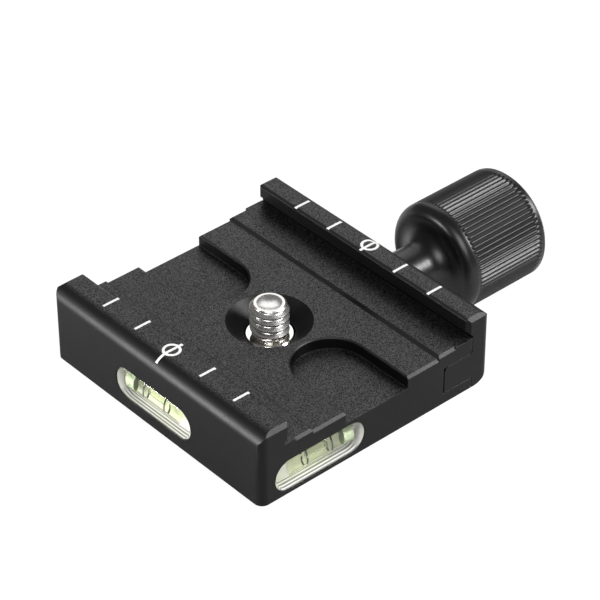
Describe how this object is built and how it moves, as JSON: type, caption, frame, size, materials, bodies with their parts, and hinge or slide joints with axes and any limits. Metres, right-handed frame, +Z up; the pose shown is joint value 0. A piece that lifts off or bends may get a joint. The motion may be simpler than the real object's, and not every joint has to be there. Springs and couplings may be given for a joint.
{
  "type": "dovetail quick release clamp",
  "caption": "Square camera clamp: a dovetail groove with a sliding jaw drawn in by a knurled knob, bubble levels in two faces and a captive tripod screw in the middle.",
  "frame": {"origin": "on the axis of the tripod screw, in the plane of the clamp's underside", "axes": "+Z up out of the deck, +X along the clamping direction towards the knob, Y along the dovetail groove"},
  "size_m": [0.0764, 0.05, 0.0197],
  "materials": {
    "anodised_body": "bead-blasted and black anodised",
    "anodised_knob": "turned, knurled and black anodised",
    "white_paint": "paint filled into engraved lines",
    "pin_steel": "ground steel",
    "spring_steel": "drawn spring wire",
    "stainless": "bright machined stainless steel",
    "nylon": "moulded nylon",
    "clear_acrylic": "polished clear acrylic",
    "level_liquid": "yellow-green liquid",
    "black_ink": "black ring lines",
    "level_plug": "green acrylic plug"
  },
  "bodies": {
    "base": {"base_block": "anodised_body", "fixed_jaw_marks": "white_paint", "return_spring_near": "spring_steel", "return_spring_far": "spring_steel", "side_level_block": "clear_acrylic", "side_level_liquid": "level_liquid", "side_level_rings": "black_ink", "side_level_plug": "level_plug", "end_level_block": "clear_acrylic", "end_level_liquid": "level_liquid", "end_level_rings": "black_ink", "end_level_plug": "level_plug"},
    "jaw": {"moving_jaw": "anodised_body", "moving_jaw_marks": "white_paint", "guide_pin_near": "pin_steel", "guide_pin_far": "pin_steel", "thrust_washer": "nylon"},
    "knob": {"clamp_stud": "pin_steel", "clamp_knob": "anodised_knob", "knob_lock_screw": "pin_steel"},
    "screw": {"mount_screw": "stainless", "retaining_ring": "stainless"}
  },
  "joints": [
    {"name": "jaw_slide", "type": "slide", "parent": "base", "child": "jaw", "axis": [1, 0, 0], "range_m": [0, 0.004]},
    {"name": "knob_turn", "type": "hinge", "parent": "jaw", "child": "knob", "pos_m": [0.03, 0, 0.0036], "axis": [1, 0, 0], "range_deg": [0, 1800]},
    {"name": "screw_turn", "type": "hinge", "parent": "base", "child": "screw", "pos_m": [0, 0, 0.006], "axis": [0, 0, 1], "continuous": true}
  ],
  "couplings": [
    {"joint": "knob_turn", "follows": "jaw_slide", "rad_per_m": 7854}
  ]
}
